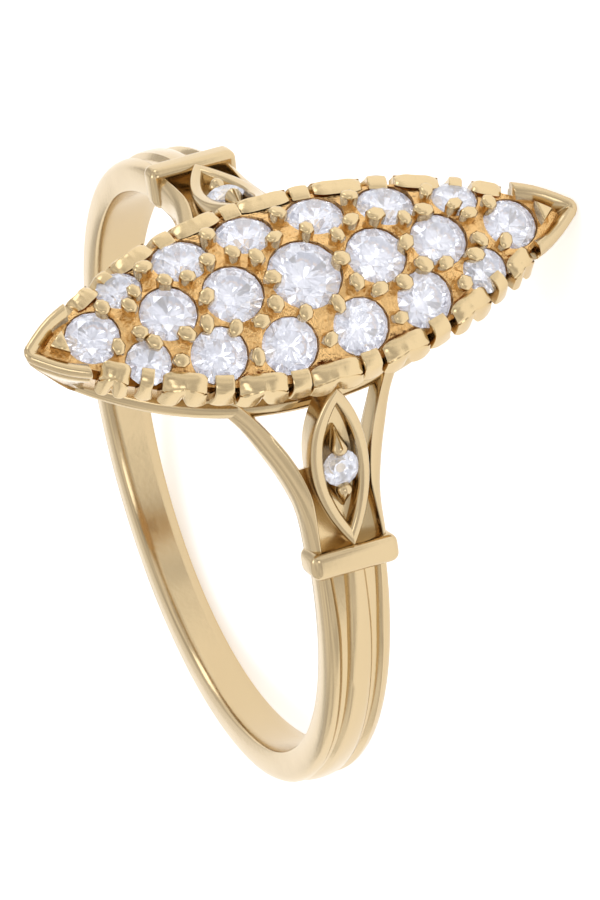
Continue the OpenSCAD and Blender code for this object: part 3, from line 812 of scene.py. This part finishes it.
def seat_burr(place, axis, width):
    """A diamond's burr, a cone with straight sides above it, and the drill for its light hole."""
    turned = Vector((0, 0, 1)).rotation_difference(axis).to_euler()
    deep = (SEAT_LOW - SEAT_GIRDLE) * width
    wide = 0.5 * width + SEAT_CLEAR
    bpy.ops.object.select_all(action="DESELECT")
    bpy.ops.mesh.primitive_cone_add(vertices=30, radius1=wide - deep * 0.5 / PAVILION_DEPTH, radius2=wide,
                                    depth=deep, location=(0, 0, -(SEAT_LOW + SEAT_GIRDLE) * width / 2))
    cone = edit(bpy.context.view_layer.objects.active)
    pick(cone, "faces", lambda p: p.z > deep / 2 - 0.01)
    bpy.ops.mesh.extrude_region_move(TRANSFORM_OT_translate={"value": (0, 0, 0.8)})
    close()
    cone.matrix_world = Matrix.Translation(place) @ turned.to_matrix().to_4x4() @ cone.matrix_world
    bpy.ops.mesh.primitive_cylinder_add(vertices=24, radius=LIGHT_HOLE_R * width, depth=3,
                                        location=place - axis * 1.9, rotation=turned)
    return [cone, bpy.context.view_layer.objects.active]


def drill(obj, burr):
    cut = obj.modifiers.new("Seat", "BOOLEAN")
    cut.operation = "DIFFERENCE"
    cut.solver = "EXACT"
    cut.object = burr
    only(obj)
    bpy.ops.object.modifier_apply(modifier=cut.name)
    bpy.data.objects.remove(burr)
    return obj


underside = [bed_loop(shrink, BED_T) for shrink in BED_SHRINKS]
bed = drawn_out("stone_bed", underside + [bed_loop(shrink) for shrink in reversed(BED_SHRINKS)])
for place, axis, width in HEAD_STONES:
    for burr in seat_burr(place, axis, width):
        drill(bed, burr)
tidy_mesh(bed)
finish_piece(bed, bed_gold, angle=30)
print("bed:", len(bed.data.polygons), "faces")

# %% [markdown]
# The claws are what gives this head its look. Wide claws stand opposite the gaps between the side stones:
# each has a flat top that tilts in to the stones, a cut line arched under it, and a face split from below
# into two round lobes like a fish's tail. Narrow plain claws stand between them. Each kind is modelled
# once: the corners of a small grid are dragged into the face, the grid is extruded to its thickness, and
# its back is laid smooth.

# %% Claw shapes
CLAW_T = 0.34
CLAW_TIP_T = 0.15
CLAW_LEAN = 0.1
CLAW_FACET, NARROW_FACET = 0.28, 0.2


def claw_face(across, up, lobed):
    """A place on a claw's face: across from -1 to 1 and up from 0 to 1, as shares of its width and height."""
    side = abs(across)
    # the notch of the foot, the lobes' bulge, the crease between them, the cut line's depth, how far the rows
    # hang at the corners so that this line is arched, and how much wider the foot is
    if lobed:
        foot = 0.27 * max(0.0, 1 - side / 0.26) ** 1.2 + 0.12 * max(0.0, (side - 0.7) / 0.3) ** 2
        lobe = 0.09 * math.sin(math.pi * min(side / 1.02, 1.0)) * (1 - up) ** 0.6
        crease = 0.05 * max(0.0, 1 - side / 0.15) * max(0.0, 1 - up / 0.5)
        arch = 0.09 if abs(up - 0.79) < 0.03 and side < 0.86 else 0.0
        drop = -0.26 * side ** 3 * max(0.0, 1 - abs(up - 0.8) / 0.2) - 0.1 * side ** 6 * up ** 8
        flare = 1 + 0.1 * (1 - up) ** 3
    else:
        foot, lobe, crease, arch, drop = 0.1 * side ** 3, 0.04 * (1 - side ** 2), 0.0, 0.0, 0.0
        flare = 1 + 0.35 * (1 - up) ** 4
    tilt_in = CLAW_LEAN * up ** 3 + (CLAW_FACET if lobed else NARROW_FACET) * share(up, 0.86, 1.0)
    return across * flare, foot * (1 - up) + up + drop, lobe - crease - arch - tilt_in


def claw(name, lobed, columns, rows):
    """A grid is dragged into a claw's face and extruded, and its back is laid smooth."""
    bpy.ops.object.select_all(action="DESELECT")
    bpy.ops.mesh.primitive_grid_add(x_subdivisions=columns, y_subdivisions=rows, size=2)
    obj = edit(named(name))
    mesh = bmesh.from_edit_mesh(obj.data)
    for corner in mesh.verts:
        across, height, out = claw_face(corner.co.x, (corner.co.y + 1) / 2, lobed)
        corner.co = Vector((across / 2, out, height))
    bmesh.update_edit_mesh(obj.data)
    bpy.ops.mesh.select_all(action="SELECT")
    bpy.ops.mesh.extrude_region_move(TRANSFORM_OT_translate={"value": (0, -CLAW_T, 0)})
    mesh = bmesh.from_edit_mesh(obj.data)
    reach_in = CLAW_LEAN + CLAW_FACET + CLAW_TIP_T - CLAW_T
    for corner in [v for v in mesh.verts if v.select]:
        corner.co.y = -CLAW_T - reach_in * max(corner.co.z, 0.0) ** 6
    bmesh.update_edit_mesh(obj.data)
    close()
    tidy_mesh(obj)
    return obj


wide_claw = claw("wide_claw", lobed=True, columns=32, rows=24)
narrow_claw = claw("narrow_claw", lobed=False, columns=10, rows=10)
print("wide claw:", len(wide_claw.data.polygons), "faces, narrow claw:", len(narrow_claw.data.polygons))

# %% [markdown]
# The patterns are one unit wide and high, so that each copy is scaled to its place: the claws get narrower
# towards the points, and their tops follow the dome. Then each is turned to the outline, and a small bevel
# softens its edges. The claws of the far side stand a little lower, as in the photograph.

# %% Set the claws round the head
CLAW_RISE = 0.2
FAR_CLAW_DROP = 0.18
# place along the head, width
WIDE_CLAWS = [(0.0, 1.52), (2.25, 1.42), (4.52, 1.28), (6.4, 0.86)]
NARROW_CLAWS = [(1.11, 0.56), (3.4, 0.56), (5.56, 0.38)]


def rim_rise(y):
    """How much higher the dome's edge stands at a place along the head than at its middle."""
    return dome_z(leaf_x(y) - CLAW_T, y) - dome_z(leaf_x(0) - CLAW_T, 0)


def set_claw(pattern, name, y, width, side):
    turned = math.asin(y / HEAD_ARC_R)
    foot = CLAW_LOW - 0.08 + 0.45 * rim_rise(y)
    top = dome_z(leaf_x(0) - CLAW_T, 0) + CLAW_RISE + rim_rise(y)
    if side < 0:
        top -= FAR_CLAW_DROP
    obj = copy_of(pattern, name)
    obj.scale = (width, 1.0, top - foot)
    obj.rotation_euler = (0, 0, turned - math.pi / 2)
    obj.location = (leaf_x(y), y, foot)
    settle(obj)
    add_modifier(obj, "BEVEL", width=0.03, segments=2, limit_method="ANGLE", angle_limit=math.radians(40))
    if side < 0:
        obj.scale = (-1, 1, 1)
        tidy_mesh(settle(obj))
    return finish_piece(obj, claw_gold, angle=35)


claw_count = 0
claw_kinds = ((wide_claw, "wide_claw", WIDE_CLAWS), (narrow_claw, "narrow_claw", NARROW_CLAWS))
for pattern, label, rows in claw_kinds:
    for side in (1, -1):
        for y, width in rows:
            for end in ((1,) if y == 0 else (1, -1)):
                claw_count += 1
                set_claw(pattern, f"{label}_{claw_count}", end * y, width, side)
for pattern in (wide_claw, narrow_claw):
    bpy.data.objects.remove(pattern)
print("claws:", claw_count)

# %% [markdown]
# Each point of the head is closed by a V-shaped rim: a thick rounded ridge with a thin cut line under it,
# on a wall that reaches down to the rail. Its section is drawn out along one side to the nose, round the
# nose in a small arc, and back along the other side. At every height it follows the head wall's own arc,
# so that the point leans in downwards as the wall does.

# %% End rims
RIM_START = 6.95
RIM_STEPS = (0.0, 0.04, 0.2, 0.4, 0.6, 0.8, 1.0)
RIM_NOSE_R = 0.4
POINT_REACH = 0.13
RIM_SWELL = 0.1
POINT_ANGLE = math.degrees(math.atan2(HEAD_HALF_L, HEAD_ARC_C))
# how far round the nose's arc, as shares of the way from its middle to a flank
NOSE_TURNS = (0.99, 0.495, 0.0, -0.495, -0.99)
# inset from the wall's outer face, height
RIM_SECTION = [(0.2, 8.95), (0.1, 9.05), (0.05, 9.4), (0.02, 10.0), (0.0, 10.6), (-0.02, 11.0),
               (-0.05, 11.4), (-0.05, 11.6), (-0.02, 11.68), (0.03, 11.71), (0.03, 11.75), (0.0, 11.8),
               (0.01, 11.9), (0.05, 11.98), (0.12, 12.04), (0.2, 12.07), (0.28, 12.07), (0.35, 12.03),
               (0.4, 11.96), (0.43, 11.86), (0.45, 11.7), (0.45, 11.3), (0.5, 10.6), (0.55, 9.9),
               (0.55, 8.95)]


def rim_section(station):
    """The rim's section at a place along one side, or at a turn round the nose."""
    kind, side, along = station
    loop = []
    for inset, z in RIM_SECTION:
        arc = wall_arc(z) - inset
        nose = max(0.03, RIM_NOSE_R - inset)
        slope = math.radians(90 - POINT_ANGLE)
        centre = leaf_tip(arc) + POINT_REACH - nose / math.cos(slope)
        if kind == "nose":
            loop.append((nose * math.sin(along * slope), centre + nose * math.cos(along * slope), z))
        else:
            nose_start = centre + nose * math.cos(slope)
            y = blend(min(RIM_START, nose_start - 0.3), nose_start, along)
            swell = RIM_SWELL * math.sin(math.pi * along) * share(z, 9.2, 11.0)
            x = leaf_x(y - POINT_REACH * along ** 2, arc) + swell
            loop.append((side * x, y, z + 0.05 * (1 - along) * share(z, 11.6, 12.0)))
    return loop


stations = [("side", 1, s) for s in RIM_STEPS] + [("nose", 0, s) for s in NOSE_TURNS]
stations += [("side", -1, s) for s in reversed(RIM_STEPS)]
for number, end in ((1, 1), (2, -1)):
    loops = [[Vector((x, end * y, z)) for x, y, z in rim_section(station)] for station in stations]
    rim = drawn_out(f"end_rim_{number}", loops)
    add_modifier(rim, "BEVEL", width=0.03, segments=2, limit_method="ANGLE", angle_limit=math.radians(70))
    finish_piece(rim, polished_gold, angle=62)
print("end rim:", len(rim.data.polygons), "faces")

# %% [markdown]
# The stones are held by small posts raised between them. Their tops are flat and bright from the finishing
# wheel, with soft edges that lap a little over the stones' girdles, and their feet taper, so that they
# don't show through the stones. No two are quite alike, so each post is squashed and turned by a small
# seeded chance.

# %% Prongs
PRONG_D = 0.53
PRONG_SINK = 0.55
PRONG_STAND = 0.05
PRONG_EDGE = 0.12
PRONG_FOOT = 0.8
POINT_PRONG_D = 0.72
# one quarter of the head: across, along
QUARTER_PRONGS = [(1.2, 0.5), (0.75, 1.25), (1.1, 1.83), (1.95, 2.2), (1.08, 2.6), (0.75, 3.35),
                  (0.85, 4.0), (1.48, 4.38), (0.8, 4.95), (0.42, 5.25), (0.62, 5.98)]
ROW_PRONGS = (1.06, 3.08)
WAIST_PRONG = 2.02
POINT_PRONG = 7.47


def dome_axis(x, y):
    """Which way is straight up out of the dome."""
    lean = math.asin(x / DOME_ACROSS_R)
    roll = math.asin(y / (DOME_ALONG_R - DOME_ACROSS_R + DOME_ACROSS_R * math.cos(lean)))
    return Vector((math.sin(lean), math.cos(lean) * math.sin(roll), math.cos(lean) * math.cos(roll)))


def prong(name, x, y, sides, size, chance):
    height = PRONG_SINK + PRONG_STAND
    bpy.ops.object.select_all(action="DESELECT")
    bpy.ops.mesh.primitive_cylinder_add(vertices=sides, radius=size / 2, depth=height,
                                        location=(0, 0, PRONG_STAND - height / 2))
    obj = edit(named(name))
    pick(obj, "faces", lambda p: p.z > PRONG_STAND - 0.01)
    bpy.ops.mesh.bevel(offset=PRONG_EDGE, segments=3, affect="EDGES")
    pick(obj, "verts", lambda p: p.z < 0)
    grow(x=PRONG_FOOT, y=PRONG_FOOT)
    close()
    obj.scale = (chance.uniform(1.0, 1.25), chance.uniform(0.78, 0.98), 1.0)
    spin = Matrix.Rotation(chance.uniform(0, math.pi) if sides > 3 else math.pi * (y < 0), 4, "Z")
    turned = Vector((0, 0, 1)).rotation_difference(dome_axis(x, y)).to_matrix().to_4x4()
    size_matrix = Matrix.Diagonal((*obj.scale, 1.0))
    obj.matrix_world = Matrix.Translation((x, y, dome_z(x, y))) @ turned @ spin @ size_matrix
    return finish_piece(obj, claw_gold, angle=80)


chance = random.Random(7)
places = [(x * side, y * end) for x, y in QUARTER_PRONGS for side in (1, -1) for end in (1, -1)]
places += [(0.0, y * end) for y in ROW_PRONGS for end in (1, -1)]
places += [(WAIST_PRONG * side, 0.0) for side in (1, -1)]
for number, (x, y) in enumerate(places, 1):
    prong(f"prong_{number}", x, y, chance.choice((6, 7, 8)), PRONG_D, chance)
for number, end in ((1, 1), (2, -1)):
    prong(f"point_prong_{number}", 0.0, POINT_PRONG * end, 3, POINT_PRONG_D, chance)
print("prongs:", len(places) + 2)

# %% [markdown]
# The ring lies as it rests by itself, on the point of its head and the back of its band. Round it is only
# a floor of white paper, which gives a little light of its own, so that it stays white in the picture.

# %% Floor
FLOOR_Z = min(corner[2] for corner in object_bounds())
FLOOR_GAP = 0.00002
bpy.ops.object.select_all(action="DESELECT")
bpy.ops.mesh.primitive_plane_add(size=1.6, location=(0, 0, FLOOR_Z - FLOOR_GAP))
floor = named("floor")
white = bpy.data.materials.new("white_paper")
white.use_nodes = True
tree = white.node_tree
shader = tree.nodes["Principled BSDF"]
shader.inputs["Roughness"].default_value = 0.9
paper = noise(tree, tree.nodes.new("ShaderNodeTexCoord").outputs["Object"], 25.0, 2.0)
tone = colour_mix(tree, paper.outputs["Fac"])
tone.inputs["A"].default_value = (0.93, 0.93, 0.93, 1)
tone.inputs["B"].default_value = (0.96, 0.96, 0.96, 1)
link(tree, tone.outputs["Result"], shader.inputs["Base Color"])
shader.inputs["Emission Color"].default_value = (1, 1, 1, 1)
shader.inputs["Emission Strength"].default_value = 0.46
floor.data.materials.append(white)
floor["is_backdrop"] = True
print("floor at", round(FLOOR_Z * 1000, 3), "mm")

# %% [markdown]
# The photograph looks down on the head, from over the near shoulder and a little from one end, with the far
# shoulder up. The camera keeps that place and lens in the ring's upright frame and is laid down together
# with the ring, so that it looks down on it at a slant and is turned on its side.

# %% Camera
# place in millimetres and directions in the upright ring's frame, fitted to the diamonds in the photograph
CAMERA_PLACE = Vector((127.867, -108.043, 312.450))
CAMERA_RIGHT = Vector((0.36122, 0.91585, 0.17534))
CAMERA_UP = Vector((-0.86030, 0.25478, 0.44155))
FOCAL_PX, PHOTO_HEIGHT_PX = 12093.2, 900
back = CAMERA_RIGHT.cross(CAMERA_UP)
camera_data = bpy.data.cameras.new("camera")
camera_data.sensor_fit = "VERTICAL"
camera_data.sensor_height = 24.0
camera_data.lens = camera_data.sensor_height * FOCAL_PX / PHOTO_HEIGHT_PX
camera_data.clip_start, camera_data.clip_end = 0.01, 10.0
camera = bpy.data.objects.new("camera", camera_data)
bpy.context.scene.collection.objects.link(camera)
axes = [LAID @ axis for axis in (CAMERA_RIGHT, CAMERA_UP, back)]
camera.matrix_world = Matrix.Translation(LAID @ CAMERA_PLACE * MM) @ Matrix(axes).transposed().to_4x4()
bpy.context.scene.camera = camera
print("camera", round(camera.location.length * 1000), "mm away,", round(camera.location.z * 1000), "mm up")

# %% [markdown]
# Polished gold shows what stands round it. Three soft lamps give the bright edges, and the world round the
# ring is light, in uneven panels, with a darker part behind the camera, because metal without anything
# dark to reflect looks like plaster.


# %% Lamps and surroundings
def softbox(name, place, size, power):
    """A square soft lamp that faces the ring."""
    lamp = bpy.data.lights.new(name, "AREA")
    lamp.size = size
    lamp.energy = power
    obj = bpy.data.objects.new(name, lamp)
    bpy.context.scene.collection.objects.link(obj)
    obj.location = place
    obj.rotation_euler = (-Vector(place)).to_track_quat("-Z", "Y").to_euler()
    return obj


softbox("lamp_front", (-0.3, -0.5, 0.4), size=0.22, power=0.28)
softbox("lamp_top", (0.15, 0.2, 0.6), size=0.25, power=0.36)
softbox("lamp_side", (0.5, -0.2, 0.2), size=0.2, power=0.22)
world = bpy.data.worlds.new("soft_studio")
bpy.context.scene.world = world
world.use_nodes = True
tree = world.node_tree
sky = tree.nodes.new("ShaderNodeTexCoord").outputs["Generated"]
towards = tree.nodes.new("ShaderNodeVectorMath")
towards.operation = "DOT_PRODUCT"
towards.inputs[1].default_value = camera.location.normalized()
link(tree, sky, towards.inputs[0])
shade = stretched(tree, towards.outputs["Value"], 0.88, 0.98, 1.0, 0.74)
panels = noise(tree, sky, 3.2, 1.0)
bright = stretched(tree, panels.outputs["Fac"], 0.4, 0.6, 0.66, 1.1)
background = tree.nodes["Background"]
link(tree, product(tree, shade.outputs["Result"], bright.outputs["Result"]), background.inputs["Strength"])
background.inputs["Color"].default_value = (1.0, 0.99, 0.98, 1)
bpy.context.scene.view_settings.view_transform = "Standard"
print("lamps: 3")

# %% The end
print("scene built")
